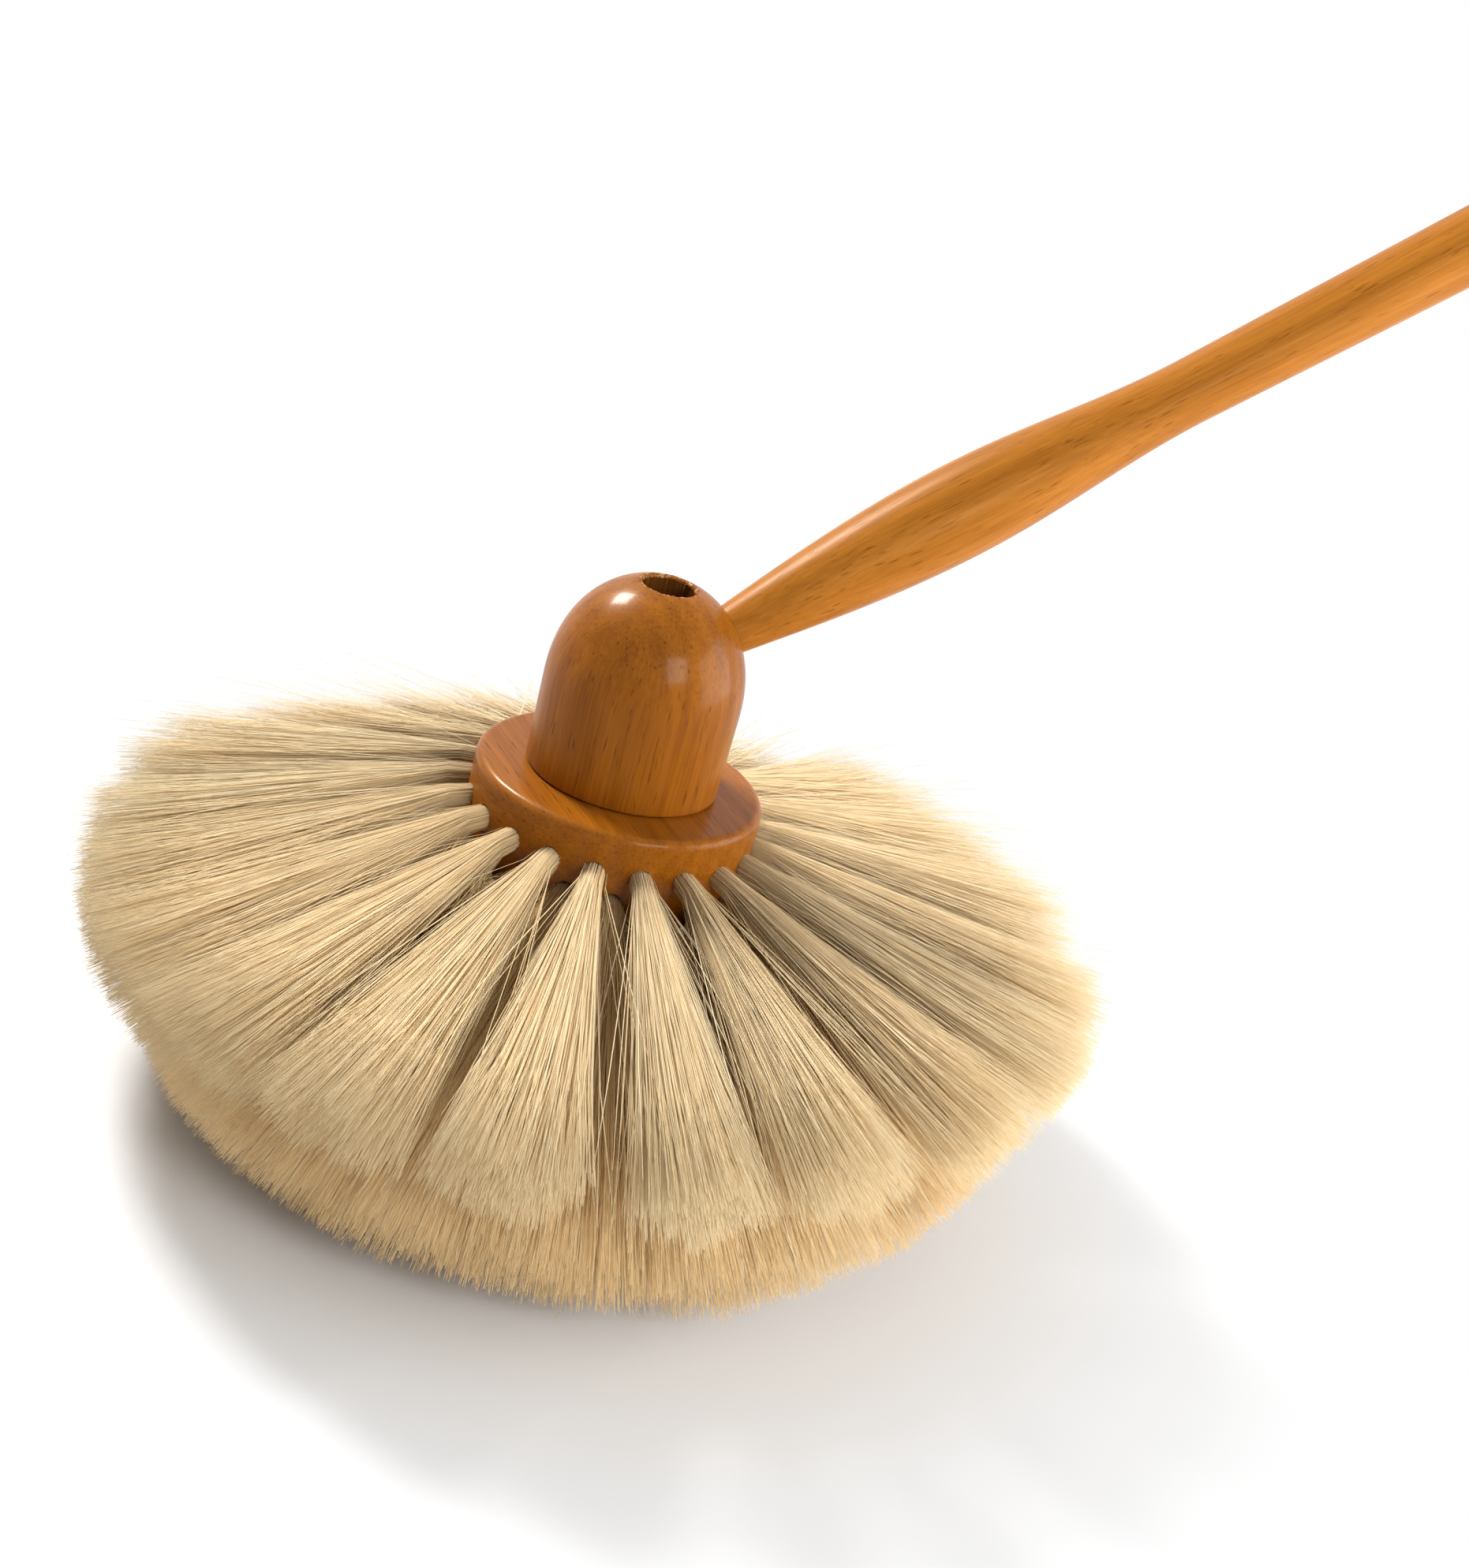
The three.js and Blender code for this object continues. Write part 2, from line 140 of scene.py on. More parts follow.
# Hair
ROOT_RADIUS = 2.7 * MM
HAIRS_PER_TUFT = 1700
HAIR_WIDTH = 0.14 * MM  # half of a hair's width
HAIR_RISE = 0.022 * MM  # half of its thickness
HAIR_THICKNESS_RANGE = (0.75, 1.25)
HAIR_ROLL = math.radians(9)
HAIR_SIDES = 3
HAIR_RINGS = np.array([0.06, 0.37, 0.69, 1.0])  # shares of the length outside the collar
HAIR_TAPER = np.array([0.5, 0.7, 1.0, 1.0, 0.55])  # thickness at the root and at each ring
HAIR_CURL = math.radians(3.5)
HAIR_LENGTH_NOISE = 0.011
ROOT_DEPTH = 1 * MM  # behind the collar's wall
ROOT_ORDER, ROOT_DISORDER = 0.8, 0.25  # how a hair's place in its hole follows that in the fan
PATH_STEP = 0.05  # of the length
LOCKS_PER_TUFT = 30
LOCK_WIDTH = 0.18  # of the fan's half width
LOCK_CURL = math.radians(2.5)
LOCK_LENGTH_NOISE = 0.012
TUFT_DROOP_NOISE = math.radians(1)
TUFT_YAW_NOISE = math.radians(1.2)
BEND_SHARE = 0.14  # of the length, in which a hair turns into its own direction
BENT_AT_HOLE = 0.5  # the share of that turn which a hair has where it leaves its hole
STRAY_SHARE = 0.03
STRAY_SPREAD = 1.1  # of the fan's half width and height
LOWEST_END, HIGHEST_END = 1.5, 2.2  # of the fan's half height
SHORT_SHARE = 0.08
SHORT_LENGTHS = (0.55, 0.97)
RAISED_AT, RAISED_WIDTH = math.radians(135), math.radians(16)  # where some tufts stand higher
UNDER_SHARE = 0.28  # of the lower row, in hairs that hang short under the collar
UNDER_LENGTHS = (0.45, 0.78)
UNDER_STEEPEST = math.radians(82)
UNDER_FAN = 4  # times the row's fan
TUFT_TONE_NOISE, HAIR_TONE_NOISE = 0.06, 0.15
TONE_STRIP = 0.02  # a hair's width on its map

# Rows of tufts. The hair's droop is less by lean towards lean_turn, and by raised at RAISED_AT.
# Spread and fan are a tuft's half height and half width; loose_fan widens all but the front tufts.
ROWS = (
    SimpleNamespace(
        name="upper",
        height=15 * MM,
        pitch_offset=0.0,
        length=107 * MM,
        droop=math.radians(19),
        lean=math.radians(7),
        lean_turn=math.radians(-35),
        raised=math.radians(6),
        spread=math.radians(3.8),
        fan=math.radians(7),
        loose_fan=math.radians(5),
        under_share=0.0,
        tone=0.58,
    ),
    SimpleNamespace(
        name="lower",
        height=7 * MM,
        pitch_offset=0.5,
        length=104 * MM,
        droop=math.radians(37.5),
        lean=math.radians(4),
        lean_turn=0.0,
        raised=0.0,
        spread=math.radians(7.5),
        fan=math.radians(12),
        loose_fan=0.0,
        under_share=UNDER_SHARE,
        # Painted shade: the lower row's darker tone stands for the shade the upper row casts on it
        tone=0.14,
    ),
)

# Hair colours
# The lower row's hair sits near the dark end, which there stands for painted shade
BLOND_DARK = (0.92, 0.62, 0.29, 1)
BLOND_LIGHT = (1, 0.86, 0.57, 1)
# Painted shade: the colour the hair darkens to at its roots, next to the collar
BLOND_IN_ROOT_SHADE = (0.72, 0.48, 0.2, 1)
ROOT_SHADE, ROOT_SHADE_END = 0.3, 0.25  # strength of the painted shade at the roots, and the share of the length where it ends
HAIR_ROUGHNESS = (0.5, 0.35)  # of the darkest and the lightest hair
HAIR_SPECULAR = 0.08
HAIR_SPECULAR_TINT = (1, 0.85, 0.6, 1)
HAIR_SHEEN, HAIR_SHEEN_ROUGHNESS = 0.2, 0.4
HAIR_SHEEN_TINT = (1, 0.88, 0.7, 1)

# Wood colours and lacquer
HONEY_DARK = (0.225, 0.064, 0.0035, 1)
HONEY_LIGHT = (0.365, 0.116, 0.0075, 1)
HONEY_FLECK = (0.09, 0.022, 0.002, 1)
BARE_BEECH = (0.62, 0.36, 0.16, 1)
# Painted shade: the sockets' bores are coloured far darker than the stained wood, for the shade inside
# them
BORE_SHADE_DARK = (0.07, 0.02, 0.002, 1)
BORE_SHADE_LIGHT = (0.15, 0.05, 0.008, 1)
ORANGE_DARK = (0.35, 0.118, 0.012, 1)
ORANGE_LIGHT = (0.52, 0.19, 0.024, 1)
ORANGE_FLECK = (0.17, 0.05, 0.006, 1)
GLOSSY = SimpleNamespace(coat=0.16, roughness=0.14)
SATIN = SimpleNamespace(coat=0.04, roughness=0.35)
SANDED_DARK = (0.5, 0.3, 0.14, 1)
SANDED_LIGHT = (0.66, 0.44, 0.23, 1)
SANDED_FLECK = (0.3, 0.15, 0.06, 1)
WOOD_ROUGHNESS, ROUGHNESS_STREAKS = (0.4, 0.3), (0.3, 0.7)
WOOD_SPECULAR = 0.12
WOOD_SPECULAR_TINT = (1, 0.6, 0.25, 1)
WOOD_BUMP, WOOD_BUMP_DEPTH = 0.25, 0.06 * MM
STREAK_RANGE = (0.34, 0.66)
FLECK_STRENGTH = 0.65
CHIP_SCALE, CHIP_RANGE = 700.0, (0.56, 0.6)
RIM_BARE = 0.8  # how bare the chipped rim is

# Beech grain: how each pattern is drawn out along the grain, its scale and its share of the streaks
BROAD_STRETCH, BROAD_SCALE, BROAD_SHARE = 0.08, 160.0, 0.45
FIBRE_STRETCH, FIBRE_SCALE, FIBRE_SHARE = 0.03, 1400.0, 0.47
FLECK_STRETCH, FLECK_SCALE, FLECK_RANGE = 0.07, 1500.0, (0.65, 0.73)
WARP_STRETCH, WARP_SCALE, WARP_REACH = 0.15, 45.0, (0.012, 0.012, 0.0)
RING_CENTRE, RING_SCALE, RING_SHARE = (0.045, 0.03, 0.0), 55.0, 0.08
FIBRE_RELIEF = 0.4  # beside the flecks, which are 1 deep

# Brass
BRASS_BRIGHT = (0.66, 0.46, 0.16, 1)
BRASS_DULL = (0.36, 0.22, 0.07, 1)
TARNISH_SCALE, TARNISH_RANGE = 400.0, (0.4, 0.7)
BRASS_ROUGHNESS, ROUGHNESS_TARNISH = (0.25, 0.5), (0.3, 0.7)

# Floor, which is plain under the object and fades to the white of the background
FLOOR_RADIUS, FLOOR_SIDES = 30, 64
FLOOR_WHITE = (0.9, 0.9, 0.9, 1)
FLOOR_ROUGHNESS = 0.9
SHADOW_CORE = 90 * MM
SHADOW_END = 270 * MM

# Lamps, with their angles in degrees, and the light of the surroundings
WHITE = (1, 1, 1, 1)
WORLD_LIGHT = 0.18
LAMP_DISTANCE = 1.2
LAMPS = (
    SimpleNamespace(name="key", azimuth=113, elevation=45, size=0.32, power=21.5),
    SimpleNamespace(name="side", azimuth=-26, elevation=9, size=1.0, power=15),
    SimpleNamespace(name="front", azimuth=-81, elevation=27, size=0.5, power=7),
)

collar_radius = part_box("collar")[1].x
collar_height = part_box("collar")[1].z
knob_shoulder_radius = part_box("socket_knob")[1].x
knob_base = collar_height + KNOB_LIFT
handle_axis = Vector((math.cos(HANDLE_TILT), 0, math.sin(HANDLE_TILT)))
handle_aim = Vector((0, 0, knob_base + HANDLE_AIM))
handle_points = [vertex.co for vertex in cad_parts["handle"].data.vertices]
handle_end = max((point - handle_aim).dot(handle_axis) for point in handle_points)
socket_mouth = handle_aim + handle_axis * (handle_end - HANDLE_LENGTH)


# Modelling


def only(piece):
    """Selects one piece alone and makes it the active one."""
    bpy.ops.object.select_all(action="DESELECT")
    piece.select_set(True)
    bpy.context.view_layer.objects.active = piece


def turned(name, profile, sides):
    """A turned piece about +Z: a point is extruded along a profile of (radius, height), then spun."""
    bpy.ops.object.select_all(action="DESELECT")
    bpy.ops.mesh.primitive_plane_add(size=MM)
    piece = bpy.context.object
    piece.name = piece.data.name = name
    bpy.ops.object.mode_set(mode="EDIT")
    bpy.ops.mesh.select_all(action="SELECT")
    bpy.ops.mesh.merge(type="CENTER")
    bpy.ops.transform.translate(value=(profile[0][0], 0, profile[0][1]))
    for (radius, height), (next_radius, next_height) in zip(profile, profile[1:]):
        step = (next_radius - radius, 0, next_height - height)
        bpy.ops.mesh.extrude_vertices_move(TRANSFORM_OT_translate={"value": step})
    bpy.ops.mesh.select_all(action="SELECT")
    bpy.ops.mesh.spin(steps=sides, angle=math.tau, center=(0, 0, 0), axis=(0, 0, 1))
    bpy.ops.mesh.select_all(action="SELECT")
    bpy.ops.mesh.remove_doubles(threshold=MERGE_DISTANCE)
    bpy.ops.mesh.normals_make_consistent(inside=False)
    bpy.ops.object.mode_set(mode="OBJECT")
    return piece


def rounded(centre_radius, centre_height, size, start, end, steps=EDGE_STEPS):
    """Points of an arc of a profile, between two angles in degrees."""
    points = []
    for i in range(steps + 1):
        angle = math.radians(start + (end - start) * i / steps)
        points.append((centre_radius + size * math.cos(angle), centre_height + size * math.sin(angle)))
    return points


def place(piece, turn, move):
    """Turns and moves a piece, and keeps that in its mesh."""
    only(piece)
    piece.rotation_euler = turn
    piece.location = move
    bpy.ops.object.transform_apply(location=True, rotation=True, scale=True)
    return piece


def on_handle_axis(piece):
    """Places a piece turned about +Z on the handle's axis, with its origin in the socket's mouth."""
    return place(piece, (0, math.pi / 2 - HANDLE_TILT, 0), socket_mouth)


def cut(piece, cutter):
    """Cuts one piece by another, which is then gone."""
    only(piece)
    boolean = piece.modifiers.new("cut", "BOOLEAN")
    boolean.operation = "DIFFERENCE"
    boolean.solver = "EXACT"
    boolean.object = cutter
    bpy.ops.object.modifier_apply(modifier=boolean.name)
    bpy.data.objects.remove(cutter)


def smooth(piece, crease):
    only(piece)
    bpy.ops.object.shade_smooth_by_angle(angle=crease)


# Collar


def tuft_hole_cutter():
    """A rod for each tuft hole, all in one piece."""
    rods = []
    reach = HOLE_CUTTER_REACH
    profile = [(0, -reach), (HOLE_RADIUS, -reach), (HOLE_RADIUS, reach), (0, reach)]
    middle = collar_radius - COLLAR_WALL / 2
    rise = COLLAR_WALL / 2 * math.tan(HOLE_TILT)
    for row in ROWS:
        for angle in row_angles(row):
            rod = turned("hole", profile, HOLE_SIDES)
            place(rod, (0, math.pi / 2 + HOLE_TILT, 0), (middle, 0, row.height + rise))
            rods.append(place(rod, (0, 0, angle), (0, 0, 0)))
    only(rods[0])
    for rod in rods:
        rod.select_set(True)
    bpy.ops.object.join()
    return rods[0]


def row_angles(row):
    pitch = math.tau / TUFTS_PER_ROW
    return [ROW_PHASE + (i + row.pitch_offset) * pitch for i in range(TUFTS_PER_ROW)]


def make_collar():
    hollow_radius = collar_radius - COLLAR_WALL
    foot, top = COLLAR_FOOT_EDGE, COLLAR_TOP_EDGE
    profile = [
        (COLLAR_RECESS_RADIUS, 0),
        *rounded(collar_radius - foot, foot, foot, -90, 0),
        *rounded(collar_radius - top, collar_height - top, top, 0, 90, COLLAR_TOP_EDGE_STEPS),
        (COLLAR_PASSAGE_RADIUS, collar_height),
        (COLLAR_PASSAGE_RADIUS, COLLAR_CEILING),
        (hollow_radius, COLLAR_CEILING),
        (hollow_radius, COLLAR_RECESS_DEPTH),
        (COLLAR_RECESS_RADIUS, COLLAR_RECESS_DEPTH),
        (COLLAR_RECESS_RADIUS, 0),
    ]
    collar = turned("beech_collar", profile, COLLAR_SIDES)
    cut(collar, tuft_hole_cutter())
    smooth(collar, COLLAR_CREASE)
    collar.data.materials.append(collar_beech())
    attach(collar, "head")
    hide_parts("collar")


# Knob


def dome_profile():
    """The dome from its shoulder up to the rim of the crown socket."""
    exponent = 2 / KNOB_DOME_POWER
    rim_radius = SOCKET_MOUTH_RADIUS + SOCKET_RIM
    rim_angle = math.acos((rim_radius / knob_shoulder_radius) ** (1 / exponent))
    points = []
    for i in range(DOME_STEPS + 1):
        angle = rim_angle * i / DOME_STEPS
        radius = knob_shoulder_radius * math.cos(angle) ** exponent
        height = KNOB_SHOULDER_HEIGHT + KNOB_DOME_HEIGHT * math.sin(angle) ** exponent
        points.append((radius, height))
    return points


def make_knob():
    dome = dome_profile()
    rim_top = dome[-1][1]
    mouth = rim_top - SOCKET_RIM
    floor = mouth - SOCKET_DEPTH
    tenon_end = COLLAR_RECESS_DEPTH - knob_base
    profile = [
        (0, tenon_end),
        (TENON_RADIUS, tenon_end),
        (TENON_RADIUS, 0),
        *rounded(KNOB_FOOT_RADIUS - KNOB_FOOT_EDGE, KNOB_FOOT_EDGE, KNOB_FOOT_EDGE, -90, 0),
        *dome,
        *rounded(SOCKET_MOUTH_RADIUS + SOCKET_RIM, mouth, SOCKET_RIM, 90, 180)[1:],
        (SOCKET_FLOOR_RADIUS, floor),
        (0, floor),
    ]
    profile = [(radius, height + knob_base) for radius, height in profile]
    knob = turned("beech_knob", profile, KNOB_SIDES)
    chip_rim(knob, knob_base + mouth)
    taper = (SOCKET_MOUTH_RADIUS - SOCKET_FLOOR_RADIUS) / SOCKET_DEPTH
    outer_radius = SOCKET_MOUTH_RADIUS + taper * SOCKET_CUTTER_REACH
    socket = [
        (0, -SOCKET_DEPTH),
        (SOCKET_FLOOR_RADIUS, -SOCKET_DEPTH),
        (outer_radius, SOCKET_CUTTER_REACH),
        (0, SOCKET_CUTTER_REACH),
    ]
    cut(knob, on_handle_axis(turned("socket", socket, HANDLE_SIDES)))
    smooth(knob, KNOB_CREASE)
    # the third material is painted shade in the bores
    for material in (head_beech(), rim_beech(), shaded_bore_beech()):
        knob.data.materials.append(material)
    crown_mouth = Vector((0, 0, knob_base + mouth))
    for face in knob.data.polygons:
        face.material_index = max(
            socket_place(face.center, crown_mouth, Vector((0, 0, 1))),
            socket_place(face.center, socket_mouth, handle_axis),
        )
    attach(knob, "head")
    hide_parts("socket_knob")


def socket_place(point, mouth, axis):
    """0 for a point outside on the knob, 1 for one on a socket's rim and 2 for one in its bore."""
    along = (point - mouth).dot(axis)
    out = (point - mouth - axis * along).length
    if out > SOCKET_MOUTH_RADIUS + SOCKET_RIM or along < -SOCKET_DEPTH - SOCKET_RIM:
        return 0
    return 1 if along > 0 else 2


def chip_rim(knob, height):
    """Roughens the worn rim of the crown socket."""
    only(knob)
    bpy.ops.object.mode_set(mode="EDIT")
    bpy.ops.mesh.select_all(action="DESELECT")
    bpy.ops.object.mode_set(mode="OBJECT")
    for vertex in knob.data.vertices:
        radius = math.hypot(vertex.co.x, vertex.co.y)
        at_mouth = abs(radius - SOCKET_MOUTH_RADIUS) < SOCKET_RIM
        vertex.select = at_mouth and vertex.co.z > height - SOCKET_RIM
    bpy.ops.object.mode_set(mode="EDIT")
    bpy.ops.transform.vertex_random(offset=RIM_CHIPS, seed=RIM_CHIPS_SEED)
    bpy.ops.object.mode_set(mode="OBJECT")


# Handle


def handle_radius(distance):
    """The handle swells from its neck to its belly, narrows to its waist and widens to its grip."""
    if distance < BELLY_DISTANCE:
        swell = math.sin(math.pi / 2 * distance / BELLY_DISTANCE)
        return NECK_RADIUS + (BELLY_RADIUS - NECK_RADIUS) * swell
    if distance < WAIST_DISTANCE:
        share = (distance - BELLY_DISTANCE) / (WAIST_DISTANCE - BELLY_DISTANCE)
        return WAIST_RADIUS + (BELLY_RADIUS - WAIST_RADIUS) * (1 + math.cos(math.pi * share)) / 2
    share = (distance - WAIST_DISTANCE) / (GRIP_DISTANCE - WAIST_DISTANCE)
    return WAIST_RADIUS + (GRIP_RADIUS - WAIST_RADIUS) * share


def make_handle():
    profile = [
        (0, PLUG_END),
        (PLUG_RADIUS - PLUG_CHAMFER, PLUG_END),
        (PLUG_RADIUS, PLUG_END + PLUG_CHAMFER),
    ]
    stretches = (0, BELLY_DISTANCE, WAIST_DISTANCE, GRIP_DISTANCE)
    for start, end in zip(stretches, stretches[1:]):
        for i in range(HANDLE_STEPS):
            distance = start + (end - start) * i / HANDLE_STEPS
            profile.append((handle_radius(distance), distance))
    for i in range(HANDLE_STEPS):
        angle = math.pi / 2 * i / HANDLE_STEPS
        distance = GRIP_DISTANCE + (HANDLE_LENGTH - GRIP_DISTANCE) * math.sin(angle)
        profile.append((GRIP_RADIUS * math.sqrt(math.cos(angle)), distance))
    profile.append((0, HANDLE_LENGTH))
    handle = on_handle_axis(turned("beech_handle", profile, HANDLE_SIDES))
    smooth(handle, HANDLE_CREASE)
    handle.data.materials.append(handle_beech())
    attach(handle, "handle")
    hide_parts("handle")


# Hair, which is made strand by strand in code, as no modelling operator gives it


def fan_places(rng):
    """Where each hair of a tuft ends across its fan, sideways and upwards, gathered in locks."""
    lock = rng.integers(LOCKS_PER_TUFT, size=HAIRS_PER_TUFT)
    turn = lock * GOLDEN_ANGLE + rng.uniform(0, math.tau)
    out = np.sqrt((lock + 0.5) / LOCKS_PER_TUFT)
    middle = np.stack([out * np.cos(turn), out * np.sin(turn)], 1)
    ends = middle + rng.normal(0, LOCK_WIDTH, (HAIRS_PER_TUFT, 2))
    stray = rng.random(HAIRS_PER_TUFT) < STRAY_SHARE
    ends[stray] += rng.normal(0, STRAY_SPREAD, (stray.sum(), 2))
    ends[:, 1] = np.clip(ends[:, 1], -LOWEST_END, HIGHEST_END)
    return lock, ends


def hair_paths(row, angle, rng):
    """Points along each hair of one tuft, at row angle 0: its bound root, then HAIR_RINGS."""
    lock, ends = fan_places(rng)
    droop = row.droop - row.lean * math.cos(angle - row.lean_turn)
    droop -= row.raised * math.exp(-(((angle - RAISED_AT) / RAISED_WIDTH) ** 2) / 2)
    droop += rng.normal(0, TUFT_DROOP_NOISE)
    bent = 1 - (1 - BENT_AT_HOLE) * BEND_SHARE / 2  # of a hair's turn, on average over its length
    fan = row.fan + row.loose_fan * (1 - max(0, -math.sin(angle)))
    yaw = (ends[:, 0] * fan + rng.normal(0, TUFT_YAW_NOISE)) / bent
    pitch = HOLE_TILT + (droop - ends[:, 1] * row.spread - HOLE_TILT) / bent
    curl = rng.normal(0, HAIR_CURL, (HAIRS_PER_TUFT, 2))
    curl += rng.normal(0, LOCK_CURL, (LOCKS_PER_TUFT, 2))[lock]
    longer = rng.normal(0, LOCK_LENGTH_NOISE, LOCKS_PER_TUFT)[lock]
    shorter = np.abs(rng.normal(0, HAIR_LENGTH_NOISE, HAIRS_PER_TUFT))
    length = row.length * (1 + longer - shorter)
    short = rng.random(HAIRS_PER_TUFT) < SHORT_SHARE
    length[short] *= rng.uniform(*SHORT_LENGTHS, short.sum())
    under = rng.random(HAIRS_PER_TUFT) < row.under_share
    length[under] *= rng.uniform(*UNDER_LENGTHS, under.sum())
    pitch[under] = rng.uniform(row.droop, UNDER_STEEPEST, under.sum())
    yaw[under] = rng.uniform(-UNDER_FAN, UNDER_FAN, under.sum()) * row.fan

    spread = ends * ROOT_ORDER + rng.normal(0, ROOT_DISORDER, ends.shape)
    spread /= np.maximum(1, np.linalg.norm(spread, axis=1))[:, None]
    offset = np.concatenate([np.zeros((HAIRS_PER_TUFT, 1)), spread * ROOT_RADIUS], 1)
    inside = -COLLAR_WALL - ROOT_DEPTH
    root = np.array([collar_radius + inside, 0, row.height - inside * math.tan(HOLE_TILT)])
    points = [root + offset]
    point = np.array([collar_radius, 0, row.height]) + offset
    reached = 0.0
    for ring in HAIR_RINGS:
        parts = max(1, round((ring - reached) / PATH_STEP))
        for i in range(parts):
            share = reached + (ring - reached) * (i + 0.5) / parts
            ease = min(1, share / BEND_SHARE)
            ease = BENT_AT_HOLE + (1 - BENT_AT_HOLE) * ease * ease * (3 - 2 * ease)
            up = HOLE_TILT + (pitch - HOLE_TILT) * ease + curl[:, 1] * share**2
            side = yaw * ease + curl[:, 0] * share**2
            level = np.cos(side)
            heading = np.stack([np.cos(up) * level, np.sin(side), -np.sin(up) * level], 1)
            point = point + heading * (length * (ring - reached) / parts)[:, None]
        points.append(point)
        reached = ring
    return np.stack(points, 1)


def hair_mesh(name, paths, tones_and_shade, rng):
    """A mesh of flat three-sided hairs, closed at both ends.

    Its map has the tone, darker in the lower row as painted shade, across and the length up.
    """
    count, rings = paths.shape[:2]
    heading = paths[:, -1] - paths[:, 1]
    heading /= np.linalg.norm(heading, axis=1)[:, None]
    across = np.cross(heading, (0, 0, 1.0))
    across /= np.linalg.norm(across, axis=1)[:, None]
    over = np.cross(across, heading)
    corners = math.pi / 2 + np.arange(HAIR_SIDES) * math.tau / HAIR_SIDES
    roll = rng.normal(0, HAIR_ROLL, count)[:, None]
    wide, high = HAIR_WIDTH * np.cos(corners), HAIR_RISE * np.sin(corners)
    sideways = wide * np.cos(roll) - high * np.sin(roll)
    upwards = wide * np.sin(roll) + high * np.cos(roll)
    out = sideways[..., None] * across[:, None] + upwards[..., None] * over[:, None]
    thickness = rng.uniform(*HAIR_THICKNESS_RANGE, count)[:, None] * HAIR_TAPER
    tube = paths[:, :, None] + out[:, None] * thickness[:, :, None, None]
    vertices = tube.reshape(count, -1, 3)

    faces, places = [], []
    along = np.concatenate([[0], HAIR_RINGS])
    for ring in range(rings - 1):
        for side in range(HAIR_SIDES):
            after = (side + 1) % HAIR_SIDES
            left, right = side / HAIR_SIDES, (side + 1) / HAIR_SIDES
            low, high = ring * HAIR_SIDES, (ring + 1) * HAIR_SIDES
            faces.append((low + after, low + side, high + side, high + after))
            start, end = along[ring], along[ring + 1]
            places.append([(right, start), (left, start), (left, end), (right, end)])
    tip = (rings - 1) * HAIR_SIDES
    faces += [(0, 1, 2), (tip + 2, tip + 1, tip)]  # the root's end and the tip's
    places += [[(0, 0), (0.5, 0.01), (1, 0)], [(1, 1), (0.5, 0.99), (0, 1)]]

    per_hair = vertices.shape[1]
    starts = np.arange(count) * per_hair
    mesh = bpy.data.meshes.new(name)
    all_faces = [np.array(face)[None] + starts[:, None] for face in faces]
    corners = np.concatenate([f.ravel() for f in all_faces])
    totals = np.concatenate([np.full(count, len(face)) for face in faces])
    mesh.vertices.add(count * per_hair)
    mesh.vertices.foreach_set("co", vertices.astype(np.float32).ravel())
    mesh.loops.add(len(corners))
    mesh.loops.foreach_set("vertex_index", corners.astype(np.int32))
    mesh.polygons.add(len(totals))
    loop_starts = np.concatenate([[0], np.cumsum(totals)[:-1]])
    mesh.polygons.foreach_set("loop_start", loop_starts.astype(np.int32))
    uv = []
    for face_places in places:
        across_map, up_map = np.array(face_places).T
        tone = tones_and_shade[:, None] * (1 - TONE_STRIP) + TONE_STRIP * across_map
        uv.append(np.stack([tone, np.broadcast_to(up_map, tone.shape)], -1))
    mesh.update(calc_edges=True)
    layer = mesh.uv_layers.new(name="OFBake")
    layer.uv.foreach_set("vector", np.concatenate([u.ravel() for u in uv]).astype(np.float32))
    mesh.validate()
    return mesh


def make_tuft(row, index, angle):
    rng = np.random.default_rng((ROWS.index(row), index))
    name = f"{row.name}_tuft_{index + 1:02d}"
    paths = hair_paths(row, angle, rng)
    turn = np.array(Matrix.Rotation(angle, 3, "Z"))
    # the row's tone, darker in the lower row as painted shade, varies at random by tuft and by hair
    tuft_tone_and_shade = row.tone + rng.normal(0, TUFT_TONE_NOISE)
    tones_and_shade = np.clip(rng.normal(tuft_tone_and_shade, HAIR_TONE_NOISE, HAIRS_PER_TUFT), 0, 1)
    tuft = bpy.data.objects.new(name, hair_mesh(name, paths @ turn.T, tones_and_shade, rng))
    bpy.context.collection.objects.link(tuft)
    tuft.data.materials.append(goat_hair())
    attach(tuft, "head")
    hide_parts(f"{row.name}_tuft_row")


# Materials


def add(tree, kind, settings=None, **inputs):
    """Adds a shader node, with its inputs linked or set by name."""
    made = tree.nodes.new("ShaderNode" + kind)
    for name, value in (settings or {}).items():
        setattr(made, name, value)
    for name, value in inputs.items():
        connect(tree, made.inputs[name.replace("_", " ")], value)
    return made


def connect(tree, socket, value):
    if isinstance(value, bpy.types.NodeSocket):
        tree.links.new(value, socket)
    else:
        socket.default_value = value


def calculate(tree, operation, *values):
    made = add(tree, "Math", {"operation": operation})
    for socket, value in zip(made.inputs, values):
        connect(tree, socket, value)
    return made.outputs[0]


def remap(tree, value, low, high, to_low=0.0, to_high=1.0):
    made = add(tree, "MapRange", Value=value, From_Min=low, From_Max=high)
    made.inputs["To Min"].default_value = to_low
    made.inputs["To Max"].default_value = to_high
    return made.outputs[0]


def blend(tree, factor, first, second, how="MIX"):
    made = add(tree, "Mix", {"data_type": "RGBA", "blend_type": how})
    connect(tree, made.inputs["Factor"], factor)
    connect(tree, made.inputs[6], first)
    connect(tree, made.inputs[7], second)
    return made.outputs[2]


